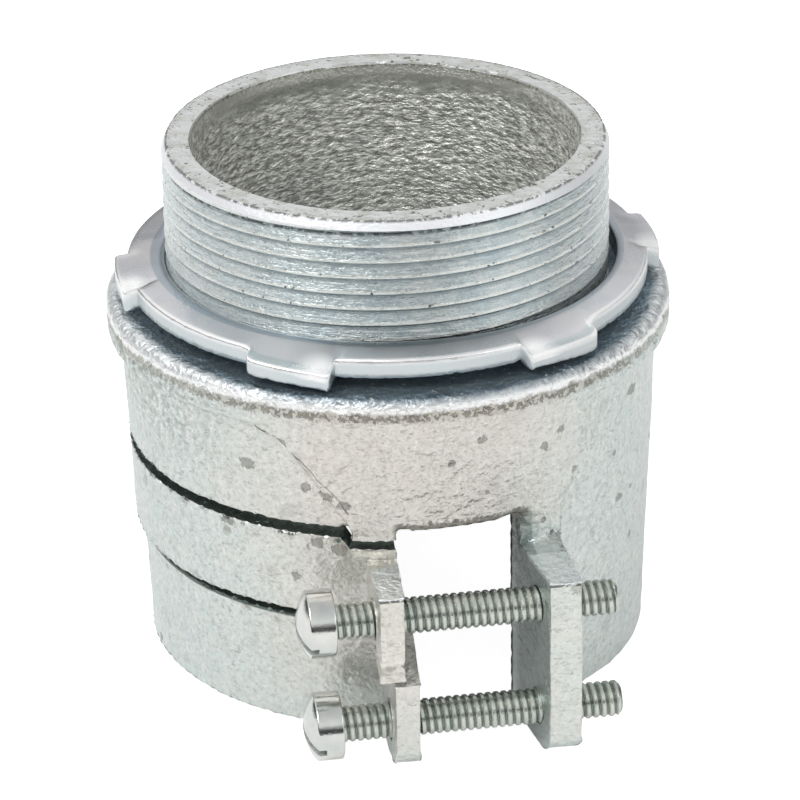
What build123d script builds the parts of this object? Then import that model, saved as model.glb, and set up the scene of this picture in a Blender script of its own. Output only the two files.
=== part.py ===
from build123d import *
import math
import os

# Squeeze connector for two inch flexible metal conduit, in millimetres.
# The origin is on the barrel's axis at the rim that the conduit enters, +Z runs up to the
# threaded spigot, and the two clamp screws cross the open gap at the front, -Y, with their
# heads towards -X. Angles are counted from the middle of the front, positive towards +X.

# Threaded spigot and its mouth
thread_diameter = 60.3
spigot_chamfer = 0.6
spigot_chamfer_height = 1.2
throat_diameter = 51.8
mouth_chamfer = 0.5
mouth_depth = 1.6
overall_height = 71.9

# Flange that the locknut is tightened down to
shoulder_height = 50.6
flange_diameter = 77.2
flange_thickness = 5.8
flange_top_round = 1.8
flange_bottom_round = 1.3

# Barrel that the conduit enters, and the web that stops the conduit
barrel_foot_diameter = 70.2
barrel_draft = 2.2
barrel_foot_round = 0.5
barrel_foot_wall = 2.7
stop_thickness = 5.0
stop_round = 1.5

# Proud pad on the hood, above the gap
pad_top_proud = 1.5
pad_foot_proud = 0.6
pad_left_top = 22.8
pad_left_knee = 19.5
pad_knee_drop = 1.4
pad_right_top = 21.5
pad_right_drop = 7.4

# Gap at the front, the two clamp jaws left of it, and the slits that free them
window_top = 30.8
upper_slit_height = 29.5
upper_slit_width = 1.3
lower_slit_height = 16.6
lower_slit_width = 0.9
slit_end_angle = 118.0
lower_jaw_set_in = 1.0
tab_reach = 11.0
tab_drop = 1.6
tab_slit_width = 1.4

# Ears: two on the left, one for each jaw, and a long tapped one on the right
ear_reach = 46.4
ear_top = 26.3
ear_foot_round = 3.6
ear_edge_round = 0.35
left_ear_thickness = 3.6
long_ear_thickness = 4.6
upper_ear_face = -5.6
lower_ear_face = -3.7
long_ear_face = 13.3
left_ear_draft = 3.5
long_ear_draft = 8.5
long_ear_back_draft = 2.0
long_ear_corner_round = 2.2
ear_slit_drop = 3.9
ear_slit_width = 0.5

# Clamp screws
screw_diameter = 4.83
screw_length = 37.7
screw_tip_chamfer = 0.45
screw_axis_reach = 41.0
upper_screw_height = 20.7
lower_screw_height = 5.3
upper_screw_stand_off = 5.25
lower_screw_stand_off = 6.5
head_diameter = 9.1
head_side = 3.45
head_edge_round = 0.6
head_dome = 1.5
slot_width = 1.25
slot_depth = 2.9
upper_slot_turn = -64.0
lower_slot_turn = -68.0

# Locknut
nut_height = 52.3
nut_thickness = 2.85
nut_crown = 0.55
nut_width = 5.25
nut_bore_chamfer = 0.4
lug_proud = 1.7
lug_count = 6
lug_angle = 18.5
lug_side_taper = 1.5
lug_thickness = 2.25
lug_bend = 4.0
lug_drop = 1.5

# Fits
thread_clearance = 0.05
screw_hole_clearance = 0.25

# Sizes that follow
thread_radius = thread_diameter / 2
throat_radius = throat_diameter / 2
foot_radius = barrel_foot_diameter / 2
bore_radius = foot_radius - barrel_foot_wall
nut_radius = thread_radius + nut_width
lug_radius = nut_radius + lug_proud
flange_radius = flange_diameter / 2
flange_foot = shoulder_height - flange_thickness
stop_face = shoulder_height - stop_thickness
screw_radius = screw_diameter / 2
lower_slit_top = lower_slit_height + lower_slit_width
upper_slit_top = upper_slit_height + upper_slit_width
tab_foot = window_top - tab_drop
tab_slit_height = tab_foot - tab_slit_width
beyond = flange_radius + ear_reach
ear_root = bore_radius / 2
middle_of_wall = (bore_radius + foot_radius) / 2


def barrel_radius(height):
    return foot_radius + height * math.tan(math.radians(barrel_draft))


def drafted(reach, degrees):
    return reach * math.tan(math.radians(degrees))


def side_profile(points):
    # A closed outline in the YZ plane, given as distance to the front and height
    flat = Plane.YZ * make_face(Polyline(*[(-reach, height) for reach, height in points], close=True))
    return flat


def slab(outline, low, high):
    # A closed outline in the XY plane, raised between two heights
    return extrude(Pos(0, 0, low) * make_face(Polyline(*outline, close=True)), amount=high - low)


def ring_sector(inner, outer, low, high, start, end):
    # Part of a ring between two angles from the front
    first = CenterArc((0, 0), inner, start - 90, end - start)
    second = CenterArc((0, 0), outer, start - 90, end - start)
    sides = [Line(first @ 0, second @ 0), Line(first @ 1, second @ 1)]
    return extrude(Pos(0, 0, low) * make_face([first, second, *sides]), amount=high - low)


def turned_shell():
    # Barrel, flange, spigot and throat as one turned outline
    outline = Polyline(
        (bore_radius, 0),
        (foot_radius, 0),
        (barrel_radius(flange_foot), flange_foot),
        (flange_radius, flange_foot),
        (flange_radius, shoulder_height),
        (thread_radius, shoulder_height),
        (thread_radius, overall_height - spigot_chamfer_height),
        (thread_radius - spigot_chamfer, overall_height),
        (throat_radius + mouth_chamfer, overall_height),
        (throat_radius, overall_height - mouth_depth),
        (throat_radius, stop_face),
        (bore_radius, stop_face),
        close=True,
    )
    face = make_face(outline)
    rounds = [
        ((foot_radius, 0), barrel_foot_round),
        ((flange_radius, flange_foot), flange_bottom_round),
        ((flange_radius, shoulder_height), flange_top_round),
        ((bore_radius, stop_face), stop_round),
        ((throat_radius, stop_face), stop_round),
    ]
    for (radius, height), size in rounds:
        corner = face.vertices().sort_by_distance(Vector(radius, height, 0))[0]
        face = fillet(corner, size)
    return revolve(Plane.XZ * face, Axis.Z)


def lower_jaw_relief():
    # The lower jaw is squeezed further shut than the upper one, so its left side stands in
    band = Pos(-beyond / 2, 0, lower_slit_top / 2) * Box(beyond, 2 * beyond, lower_slit_top)
    jaw = Pos(lower_jaw_set_in, 0, lower_slit_top / 2) * Cone(
        foot_radius, barrel_radius(lower_slit_top), lower_slit_top
    )
    return band - jaw


def hood_pad():
    # Raised front of the hood, drawn as seen from the front and cut to a shell
    top = flange_foot + flange_bottom_round
    knee = flange_foot - pad_knee_drop
    right_knee = flange_foot - pad_right_drop
    ear_side = long_ear_face + long_ear_thickness
    outline = Polyline(
        (-pad_left_top, top),
        (-pad_left_top, flange_foot),
        (-pad_left_knee, knee),
        (-tab_reach, upper_slit_top),
        (-tab_reach, tab_foot),
        (long_ear_face, tab_foot),
        (long_ear_face, ear_top),
        (ear_side, ear_top),
        (ear_side, window_top),
        (pad_right_top, right_knee),
        (pad_right_top, top),
        close=True,
    )
    seen = extrude(Plane.XZ * make_face(outline), amount=beyond)
    low = ear_top
    height = top - low
    outside = Cone(barrel_radius(low) + pad_foot_proud, barrel_radius(top) + pad_top_proud, height)
    shell = outside - Cylinder(middle_of_wall, height)
    return seen & Pos(0, 0, low + height / 2) * shell


def plan_outline(inner_face, inner_draft, outer_face, outer_draft):
    # An ear seen from above, thicker at its root, with its two front edges rounded
    length = ear_reach - ear_root
    outline = Polyline(
        (inner_face, -ear_reach),
        (inner_face + drafted(length, inner_draft), -ear_root),
        (outer_face + drafted(length, outer_draft), -ear_root),
        (outer_face, -ear_reach),
        close=True,
    )
    face = make_face(outline)
    front = face.vertices().group_by(Axis.Y)[0]
    return fillet(front, ear_edge_round)


def ear(plan, profile):
    upright = extrude(plan, amount=shoulder_height)
    sideways = extrude(profile, amount=beyond, both=True)
    return upright & sideways


def ear_profile(low_points, high_points, rounded_foot):
    face = side_profile([*low_points, *high_points])
    if rounded_foot:
        corner = face.vertices().sort_by_distance(Vector(0, -ear_reach, 0))[0]
        face = fillet(corner, ear_foot_round)
    return face


def long_ear_front():
    # The long ear as seen from the front, with its lower outer corner rounded
    side = long_ear_face + long_ear_thickness
    outline = Polyline(
        (0, 0),
        (side, 0),
        (side, ear_top),
        (0, ear_top),
        close=True,
    )
    face = make_face(outline)
    corner = face.vertices().sort_by_distance(Vector(side, 0, 0))[0]
    face = fillet(corner, long_ear_corner_round)
    return extrude(Plane.XZ * face, amount=beyond)


def ears():
    # Each ear is cut off half way into the barrel's wall, so nothing of it stands in the bore
    back = ear_root
    jaw_wall = foot_radius + 0.6
    front_cut = lower_slit_top - ear_slit_drop
    upper_low = [(back, lower_slit_top), (jaw_wall, lower_slit_top), (ear_reach, front_cut)]
    upper_high = [(ear_reach, ear_top), (back, ear_top)]
    lower_low = [(back, 0), (ear_reach, 0)]
    lower_high = [
        (ear_reach, front_cut - ear_slit_width),
        (jaw_wall, lower_slit_height),
        (back, lower_slit_height),
    ]
    long_high = [(ear_reach, ear_top), (back, ear_top)]
    upper = ear(
        plan_outline(upper_ear_face, left_ear_draft, upper_ear_face - left_ear_thickness, 0),
        ear_profile(upper_low, upper_high, False),
    )
    lower = ear(
        plan_outline(lower_ear_face, left_ear_draft, lower_ear_face - left_ear_thickness, 0),
        ear_profile(lower_low, lower_high, True),
    )
    tapped = ear(
        plan_outline(
            long_ear_face,
            -long_ear_draft,
            long_ear_face + long_ear_thickness,
            -long_ear_back_draft,
        ),
        ear_profile(lower_low, long_high, True),
    )
    tapped = tapped & long_ear_front()
    return upper + lower + tapped - Cylinder(middle_of_wall, 2 * ear_top)


def window():
    # The open gap: straight ends of the two jaws on the left, the long ear's face on the right
    inside = bore_radius / 2
    right_inside = long_ear_face - drafted(ear_reach - inside, long_ear_draft)
    right_outside = long_ear_face + drafted(beyond - ear_reach, long_ear_draft)
    upper_inside = upper_ear_face + drafted(ear_reach - inside, left_ear_draft)
    upper_outside = upper_ear_face - drafted(beyond - ear_reach, left_ear_draft)
    lower_inside = lower_ear_face + drafted(ear_reach - inside, left_ear_draft)
    lower_outside = lower_ear_face - drafted(beyond - ear_reach, left_ear_draft)
    right = [(right_outside, -beyond), (right_inside, -inside)]
    upper = slab(
        [(upper_inside, -inside), (upper_outside, -beyond), *right], lower_slit_top, window_top
    )
    lower = slab([(lower_inside, -inside), (lower_outside, -beyond), *right], -1, lower_slit_top)
    return upper + lower


def slits():
    inside = bore_radius - 2
    tab_angle = math.degrees(math.asin(tab_reach / barrel_radius(upper_slit_height)))
    gap_angle = math.degrees(math.asin(-upper_ear_face / barrel_radius(upper_slit_height)))
    upper = ring_sector(
        inside, beyond, upper_slit_height, upper_slit_top, -slit_end_angle, -tab_angle
    )
    under_tab = ring_sector(
        inside, flange_radius, tab_slit_height, tab_foot, -tab_angle - 0.5, -gap_angle / 2
    )
    step = ring_sector(
        inside, beyond, tab_slit_height, upper_slit_top, -tab_angle - 2, -tab_angle
    )
    lower = ring_sector(
        inside, flange_radius, lower_slit_height, lower_slit_top, -slit_end_angle, -gap_angle / 2
    )
    return upper + under_tab + step + lower


def ear_holes():
    cuts = []
    clear_radius = screw_radius + screw_hole_clearance
    tapped_radius = screw_radius + thread_clearance
    middle = (upper_ear_face + long_ear_face) / 2
    for height in (upper_screw_height, lower_screw_height):
        left = Pos(middle - beyond / 2, -screw_axis_reach, height) * Rot(0, 90, 0)
        right = Pos(middle + beyond / 2, -screw_axis_reach, height) * Rot(0, 90, 0)
        cuts.append(left * Cylinder(clear_radius, beyond))
        cuts.append(right * Cylinder(tapped_radius, beyond))
    return cuts


def make_connector_body():
    body = turned_shell() - lower_jaw_relief()
    body = body + hood_pad()
    body = body - window() - slits()
    body = body + ears()
    return body - ear_holes()


def make_lug(angle):
    # One lug, bent down at the end that bites the wall of the box
    inner = thread_radius + (nut_radius - thread_radius) / 2
    half = lug_angle / 2
    first = CenterArc((0, 0), inner, -90 - half - lug_side_taper, lug_angle + 2 * lug_side_taper)
    second = CenterArc((0, 0), lug_radius, -90 - half, lug_angle)
    sides = [Line(first @ 0, second @ 0), Line(first @ 1, second @ 1)]
    flat = extrude(make_face([first, second, *sides]), amount=-lug_thickness)
    bent = Rot(0, lug_bend, 0) * flat
    return Rot(0, 0, angle) * Pos(0, 0, nut_height + nut_thickness - lug_drop) * bent


def make_locknut():
    radius = thread_radius + thread_clearance
    inner_top = nut_height + nut_thickness + nut_crown
    outline = Polyline(
        (radius, nut_height + nut_bore_chamfer),
        (radius + nut_bore_chamfer, nut_height),
        (nut_radius, nut_height),
        (nut_radius, nut_height + nut_thickness),
        (radius + nut_bore_chamfer, inner_top),
        (radius, inner_top - nut_bore_chamfer),
        close=True,
    )
    nut = revolve(Plane.XZ * make_face(outline), Axis.Z)
    for index in range(lug_count):
        angle = (index + 0.5) * 360 / lug_count
        nut = nut + make_lug(angle)
    return nut


def make_screw(height, under_head, slot_turn):
    # Turned along X, with the slotted round head at the low end
    radius = head_diameter / 2
    dome_radius = (radius**2 + head_dome**2) / (2 * head_dome)
    crown = Vector(-head_side - head_dome, 0)
    arc = RadiusArc((-head_side, radius), crown, dome_radius)
    outline = [
        arc,
        Line(crown, (screw_length, 0)),
        Line((screw_length, 0), (screw_length, screw_radius - screw_tip_chamfer)),
        Line(
            (screw_length, screw_radius - screw_tip_chamfer),
            (screw_length - screw_tip_chamfer, screw_radius),
        ),
        Line((screw_length - screw_tip_chamfer, screw_radius), (0, screw_radius)),
        Line((0, screw_radius), (0, radius)),
        Line((0, radius), (-head_side, radius)),
    ]
    face = make_face(outline)
    shoulder = face.vertices().sort_by_distance(Vector(-head_side, radius, 0))[0]
    blank = revolve(fillet(shoulder, head_edge_round), Axis.X)
    slot = Pos(-head_side - head_dome, 0, 0) * Box(2 * slot_depth, slot_width, 2 * head_diameter)
    turned = blank - Rot(slot_turn, 0, 0) * slot
    return Pos(under_head, -screw_axis_reach, height) * turned


def write(part, name):
    export_step(part, os.path.join("parts", name + ".step"))


os.makedirs("parts", exist_ok=True)
upper_head = upper_ear_face - left_ear_thickness - upper_screw_stand_off
lower_head = lower_ear_face - left_ear_thickness - lower_screw_stand_off
write(make_connector_body(), "connector_body")
write(make_locknut(), "locknut")
write(make_screw(upper_screw_height, upper_head, upper_slot_turn), "upper_clamp_screw")
write(make_screw(lower_screw_height, lower_head, lower_slot_turn), "lower_clamp_screw")
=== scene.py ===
import bpy
import bmesh
import math
from mathutils import Euler, Matrix, Vector, noise


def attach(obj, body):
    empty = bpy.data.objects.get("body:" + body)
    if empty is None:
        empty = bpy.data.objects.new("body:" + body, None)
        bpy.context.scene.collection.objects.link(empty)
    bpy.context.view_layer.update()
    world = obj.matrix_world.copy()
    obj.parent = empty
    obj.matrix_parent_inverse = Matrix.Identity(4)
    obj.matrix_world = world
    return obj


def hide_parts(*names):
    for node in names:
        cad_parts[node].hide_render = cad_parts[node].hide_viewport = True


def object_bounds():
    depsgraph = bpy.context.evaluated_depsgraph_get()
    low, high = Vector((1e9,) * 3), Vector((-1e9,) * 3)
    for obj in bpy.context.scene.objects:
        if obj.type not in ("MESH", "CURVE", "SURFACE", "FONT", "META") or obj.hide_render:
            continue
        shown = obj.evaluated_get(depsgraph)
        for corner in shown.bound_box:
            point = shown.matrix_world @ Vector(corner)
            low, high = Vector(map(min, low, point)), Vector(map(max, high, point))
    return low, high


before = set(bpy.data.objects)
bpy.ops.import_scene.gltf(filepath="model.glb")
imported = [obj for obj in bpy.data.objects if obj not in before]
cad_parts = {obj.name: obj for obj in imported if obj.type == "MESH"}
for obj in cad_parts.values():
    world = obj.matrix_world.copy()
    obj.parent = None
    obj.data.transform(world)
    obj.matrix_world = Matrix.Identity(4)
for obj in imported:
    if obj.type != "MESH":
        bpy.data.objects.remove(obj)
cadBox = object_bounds()
mm = 0.001
sameSpot = 0.000002  # corners that lie closer than this, in metres, are one
print("frame loaded")


# Hands: selecting, applying, copying

def deselectAll():
    if bpy.context.mode != "OBJECT":
        bpy.ops.object.mode_set(mode="OBJECT")
    bpy.ops.object.select_all(action="DESELECT")


def pickUp(piece):
    deselectAll()
    piece.select_set(True)
    bpy.context.view_layer.objects.active = piece


def newObject(name, data):
    made = bpy.data.objects.new(name, data)
    bpy.context.scene.collection.objects.link(made)
    return made


def editMesh(piece):
    pickUp(piece)
    bpy.ops.object.mode_set(mode="EDIT")
    bpy.ops.mesh.select_all(action="SELECT")


def applyModifier(piece, kind, **settings):
    pickUp(piece)
    modifier = piece.modifiers.new(kind.title(), kind)
    for name, value in settings.items():
        setattr(modifier, name, value)
    bpy.ops.object.modifier_apply(modifier=modifier.name)


def roundEdges(piece, width, segments, degrees):
    applyModifier(
        piece, "BEVEL", width=width * mm, segments=segments, limit_method="ANGLE",
        angle_limit=math.radians(degrees), use_clamp_overlap=True,
    )


def settle(piece):
    # origin back to the world's, place into the mesh
    pickUp(piece)
    bpy.ops.object.transform_apply(location=True, rotation=True, scale=True)


def cleanUp(piece, gap=0.000004, smoothAngle=40):
    editMesh(piece)
    bpy.ops.mesh.remove_doubles(threshold=gap)
    bpy.ops.mesh.dissolve_degenerate(threshold=gap)
    bpy.ops.mesh.normals_make_consistent(inside=False)
    bpy.ops.object.mode_set(mode="OBJECT")
    bpy.ops.object.shade_smooth_by_angle(angle=math.radians(smoothAngle))


def mergedCopy(nodeName, pieceName):
    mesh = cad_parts[nodeName].data.copy()
    mesh.name = pieceName
    mesh.materials.clear()
    piece = newObject(pieceName, mesh)
    pickUp(piece)
    if mesh.has_custom_normals:
        bpy.ops.mesh.customdata_custom_splitnormals_clear()
    editMesh(piece)
    bpy.ops.mesh.remove_doubles(threshold=sameSpot)
    bpy.ops.mesh.dissolve_limited(angle_limit=math.radians(0.2))
    bpy.ops.object.mode_set(mode="OBJECT")
    return piece


def rolledGrid(pieceName, columns, rows, place):
    # a flat grid laid round a form: place(turn, row) gives each corner, turn from 0 to 1
    deselectAll()
    bpy.ops.mesh.primitive_grid_add(x_subdivisions=columns, y_subdivisions=rows, size=2)
    piece = bpy.context.object
    piece.name = pieceName
    piece.data.name = pieceName
    for corner in piece.data.vertices:
        turn = (corner.co.x + 1) / 2
        row = round((corner.co.y + 1) / 2 * rows)
        corner.co = place(turn, row)
    return piece


def markCorners(piece, name, values):
    # a value on each corner, which a material can read
    mark = piece.data.attributes.new(name, "FLOAT", "POINT")
    mark.data.foreach_set("value", values)


def alongPath(points, distance):
    # point on a broken line, by the distance from its start
    for first, second in zip(points, points[1:]):
        length = math.dist(first, second)
        if distance <= length:
            share = max(distance, 0) / length
            return [a + (b - a) * share for a, b in zip(first, second)]
        distance -= length
    return list(points[-1])


def pathCorners(points):
    corners = [0.0]
    for first, second in zip(points, points[1:]):
        corners.append(corners[-1] + math.dist(first, second))
    return corners


def smoothStep(value, low, high):
    share = min(max((value - low) / (high - low), 0), 1)
    return share * share * (3 - 2 * share)


def grain(point, size, seed=0.0):
    # soft noise from -1 to 1, size in millimetres
    return noise.noise(point / (size * mm) + Vector((seed, seed * 0.37, -seed)))


def bite(point, spec):
    # noise that is cut off below, so that it only takes away
    size, seed, extra = spec
    return max(0, grain(point, size, seed) + extra)


def angleFromFront(point):
    return math.degrees(math.atan2(point.x, -point.y))


# Hands: colours and nodes

def hexColour(code):
    channels = [int(code[i:i + 2], 16) / 255 for i in (1, 3, 5)]
    linear = [c / 12.92 if c <= 0.04045 else ((c + 0.055) / 1.055) ** 2.4 for c in channels]
    return (*linear, 1.0)


def addNode(tree, kind, settings=None, inputs=None):
    node = tree.nodes.new(kind)
    for name, value in (settings or {}).items():
        setattr(node, name, value)
    for name, value in (inputs or {}).items():
        if isinstance(value, bpy.types.NodeSocket):
            tree.links.new(value, node.inputs[name])
        else:
            node.inputs[name].default_value = value
    return node


def newMaterial(name):
    material = bpy.data.materials.new(name)
    material.use_nodes = True
    tree = material.node_tree
    tree.nodes.clear()
    return material, tree


def finishMaterial(tree, shader):
    addNode(tree, "ShaderNodeOutputMaterial", None, {"Surface": shader.outputs[0]})


def ownPlace(tree):
    return addNode(tree, "ShaderNodeTexCoord").outputs["Object"]


def objectPlace(tree, scale=(1, 1, 1)):
    # object coordinates in millimetres, stretched where a pattern runs one way
    return addNode(tree, "ShaderNodeMapping", None, {
        "Vector": ownPlace(tree), "Scale": tuple(s / mm for s in scale),
    }).outputs[0]


def noiseNode(place, size, detail=2.0, roughness=0.5):
    return addNode(place.id_data, "ShaderNodeTexNoise", None, {
        "Vector": place, "Scale": 1 / size, "Detail": detail, "Roughness": roughness,
    }).outputs[0]


def ramp(value, low, high, toLow=0.0, toHigh=1.0):
    return addNode(value.id_data, "ShaderNodeMapRange", {"clamp": True}, {
        "Value": value, "From Min": low, "From Max": high, "To Min": toLow, "To Max": toHigh,
    }).outputs[0]


def mixColour(share, first, second):
    return addNode(share.id_data, "ShaderNodeMix", {"data_type": "RGBA"}, {
        0: share, 6: first, 7: second,
    }).outputs[2]


def calculate(operation, first, second=0.0):
    # at least one of the two is a socket, and it knows its tree
    tree = (first if isinstance(first, bpy.types.NodeSocket) else second).id_data
    return addNode(tree, "ShaderNodeMath", {"operation": operation}, {
        0: first, 1: second,
    }).outputs[0]


def times(product, *factors):
    for factor in factors:
        product = calculate("MULTIPLY", product, factor)
    return product


def plus(first, second):
    return calculate("ADD", first, second)


def minus(first, second):
    return calculate("SUBTRACT", first, second)


def larger(first, second):
    return calculate("MAXIMUM", first, second)


def tint(colour, mask, code, strength=None):
    # lays a hex colour over another, where the mask is
    under = hexColour(colour) if isinstance(colour, str) else colour
    share = mask if strength is None else times(mask, strength)
    return mixColour(share, under, hexColour(code))


def bumps(*layers):
    # each layer is a height and its depth in millimetres, one over the other
    under = {}
    for height, depth in layers:
        bump = addNode(height.id_data, "ShaderNodeBump", None, {
            "Height": height, "Distance": depth * mm, "Strength": 1.0, **under,
        }).outputs[0]
        under = {"Normal": bump}
    return bump


def coated(material, colour, metal, rough, bump):
    tree = material.node_tree
    finishMaterial(tree, addNode(tree, "ShaderNodeBsdfPrincipled", None, {
        "Base Color": colour, "Metallic": metal, "Roughness": rough, "Normal": bump,
    }))
    return material


def axisDistance(tree):
    # distance from the barrel's axis, in millimetres
    flat = addNode(tree, "ShaderNodeVectorMath", {"operation": "MULTIPLY"}, {
        0: ownPlace(tree), 1: (1 / mm, 1 / mm, 0),
    })
    return addNode(tree, "ShaderNodeVectorMath", {"operation": "LENGTH"}, {
        0: flat.outputs[0],
    }).outputs["Value"]


def coordinate(tree, axis):
    # 0, 1 or 2 for across, deep and up, in millimetres
    parts = addNode(tree, "ShaderNodeSeparateXYZ", None, {0: ownPlace(tree)})
    return times(parts.outputs[axis], 1 / mm)


def between(value, low, high, soft=0.1):
    rising = ramp(value, low - soft, low + soft)
    falling = ramp(value, high + soft, high - soft)
    return times(rising, falling)


def coat(piece, *finishes):
    for finish in finishes:
        piece.data.materials.append(finish)


def cornerMark(tree, name):
    return addNode(tree, "ShaderNodeAttribute", {"attribute_name": name}).outputs["Fac"]


# Camera: a long lens 600 mm off, 26 degrees above the floor, a little left of the front

camera = {
    "elevation": 25.8,
    "azimuth": -9.0,
    "distance": 600.0,
    "lens": 195.3,
    "sensor": 36.0,
    "clip": (0.05, 50.0),  # metres
    "roll": -1.0,
    "aimRight": 1.4,
    "aimHeight": 32.1,
}


def makeCamera(spec):
    up = math.radians(spec["elevation"])
    side = math.radians(spec["azimuth"])
    roll = math.radians(spec["roll"])
    back = Vector((
        math.sin(side) * math.cos(up), -math.cos(side) * math.cos(up), math.sin(up),
    ))
    right = Vector((math.cos(side), math.sin(side), 0))
    above = back.cross(right)
    cameraX = math.cos(roll) * right + math.sin(roll) * above
    cameraY = -math.sin(roll) * right + math.cos(roll) * above
    aim = spec["aimRight"] * right + Vector((0, 0, spec["aimHeight"]))
    place = (aim + spec["distance"] * back) * mm
    data = bpy.data.cameras.new("photoCamera")
    data.lens = spec["lens"]
    data.sensor_width = spec["sensor"]
    data.clip_start, data.clip_end = spec["clip"]
    made = newObject("photoCamera", data)
    turn = Matrix((cameraX, cameraY, back)).transposed().to_4x4()
    made.matrix_world = Matrix.Translation(place) @ turn
    bpy.context.scene.camera = made


makeCamera(camera)
print("camera placed")


# Casting: barrel, hood, flange, jaws and ears, from the CAD solid

casting = {
    "shoulderCut": 50.65,  # the spigot is taken off here, its own piece has the thread
    "linerRadius": 26.6,  # room for that piece in the throat
    "linerFoot": 47.15,
    "linerGap": 0.3,
    "capZone": (31.0, 50.62),  # reach and height of the cut's rim, drawn in to the radius below
    "capRadius": 29.5,
    "edgeRound": 0.18,
    "longestEdge": 1.1,
    "fineEdge": 0.55,  # round the flange's edge and along the slits
    "fineZone": (46.5, 36.5),  # the flange's edge is above and outside these
    "skinReach": 34.5,  # the barrel's outside lies beyond this
    "splitRounds": 10,
    "sand": (  # size, seed and depth: slow waves of the mould, lumps and grit
        (9.0, 0.0, 0.12), (2.4, 3.1, 0.09), (1.1, 6.2, 0.06),
    ),
    "sandLevel": 0.8,  # all of it lies below the solid's surface
    "wornAngle": 0.6,  # an edge sharper than this, in radians, is worn
    "edgeWear": 0.16,
    "edgeBites": (1.6, 9.0, 0.25),  # size, seed, and how much of the edge they take
    "earWear": 0.02,
    "earFront": -36.0,  # the ears stand in front of this
    "earSide": (13.3, 46.4, 0.1495),  # its place at the front, the front, and its draft
    "earBox": (-44.0, -31.0, 30.4, 0.3),  # front, back and top of that side, and the slack
    "earRoot": ((12.5, 19.5), (27.0, 31.5), -33.0),  # across, up, and in front of this
    "triangles": 190000,
    "slits": ((29.5, 0.65), (16.6, 0.45)),
    "slitEnd": -118.5,  # degrees from the front
    "slitWear": 0.5,
    "slitBites": (1.3, 11.0, 0.12),
    "slitMargins": (0.8, 0.25),  # above and below a slit, for the mesh and for the wear
    "slitReach": 34.6,
    "jawStep": (27.6, 28.95, -20.3, -18.6),  # the jaw's top runs on to just under the tab
    "jawStepZone": (30.0, 0.7),  # outside this reach, and within these degrees
    "ridge": (47.0, 48.7),  # the flange's edge is pitted between these heights
    "ridgeFade": (0.6, 0.5),
    "ridgeReach": 36.0,
    "ridgePits": 0.45,
    "creases": (-1.7, -0.08),  # inner corners are rounded between these angles, in radians
    "padCrease": (30.0, 47.0),
    "padAngles": (-26, 60),
    "underFlange": (43.0, 26),  # above this, and within these degrees of the front
    "partingLine": (
        (-31.0, 44.7), (-25.2, 44.9), (-22.6, 45.1), (-20.0, 43.4), (-16.3, 39.9),
        (-12.9, 35.8), (-11.2, 33.2),
    ),
    "spots": (  # across, up and size of the grey marks at the front
        (-23.4, 38.3, 0.76), (-16.3, 36.4, 0.68), (-14.0, 35.7, 0.68), (-11.9, 34.5, 0.68),
        (-25.9, 29.0, 0.76), (-15.1, 28.2, 0.76), (-12.3, 27.4, 0.91), (-17.8, 22.7, 0.53),
        (29.4, 41.1, 0.61), (17.4, 42.3, 0.46), (14.9, 40.5, 0.61), (6.3, 43.5, 0.53),
        (19.5, 35.2, 0.46), (27.4, 25.9, 0.53), (17.1, 25.2, 0.68),
    ),
}


def takeOffSpigot(piece, spec):
    editMesh(piece)
    bpy.ops.mesh.bisect(
        plane_co=(0, 0, spec["shoulderCut"] * mm), plane_no=(0, 0, 1), clear_outer=True,
    )
    bpy.ops.mesh.bridge_edge_loops()
    bpy.ops.object.mode_set(mode="OBJECT")
    capReach, capHeight = spec["capZone"]
    throat = spec["linerRadius"] - spec["linerGap"]
    for corner in piece.data.vertices:
        reach = math.hypot(corner.co.x, corner.co.y) / mm
        wanted = reach
        if reach < throat and corner.co.z > spec["linerFoot"] * mm:
            wanted = spec["linerRadius"]
        elif reach < capReach and corner.co.z > capHeight * mm:
            wanted = spec["capRadius"]
        corner.co.x *= wanted / reach
        corner.co.y *= wanted / reach


def closeStep(piece, spec):
    low, high, before, after = spec["jawStep"]
    leastReach, slack = spec["jawStepZone"]
    turn = Matrix.Rotation(math.radians(after - before), 3, "Z")
    for corner in piece.data.vertices:
        place = corner.co
        outside = math.hypot(place.x, place.y) > leastReach * mm
        if outside and low * mm < place.z < high * mm:
            if abs(angleFromFront(place) - before) < slack:
                corner.co = turn @ place


def flattenEarSide(piece, spec):
    # the tapped ear's inner side is one plane
    front, ahead, draft = spec["earSide"]
    near, far, top, slack = spec["earBox"]
    for corner in piece.data.vertices:
        across, deep, height = (c / mm for c in corner.co)
        plane = front - (ahead + deep) * draft
        if near < deep < far and height < top and abs(across - plane) < slack:
            corner.co.x = plane * mm


def nearSlit(point, spec, margin):
    return spec["slitEnd"] < angleFromFront(point) < 0 and any(
        abs(point.z / mm - height) < half + margin for height, half in spec["slits"]
    )


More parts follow.
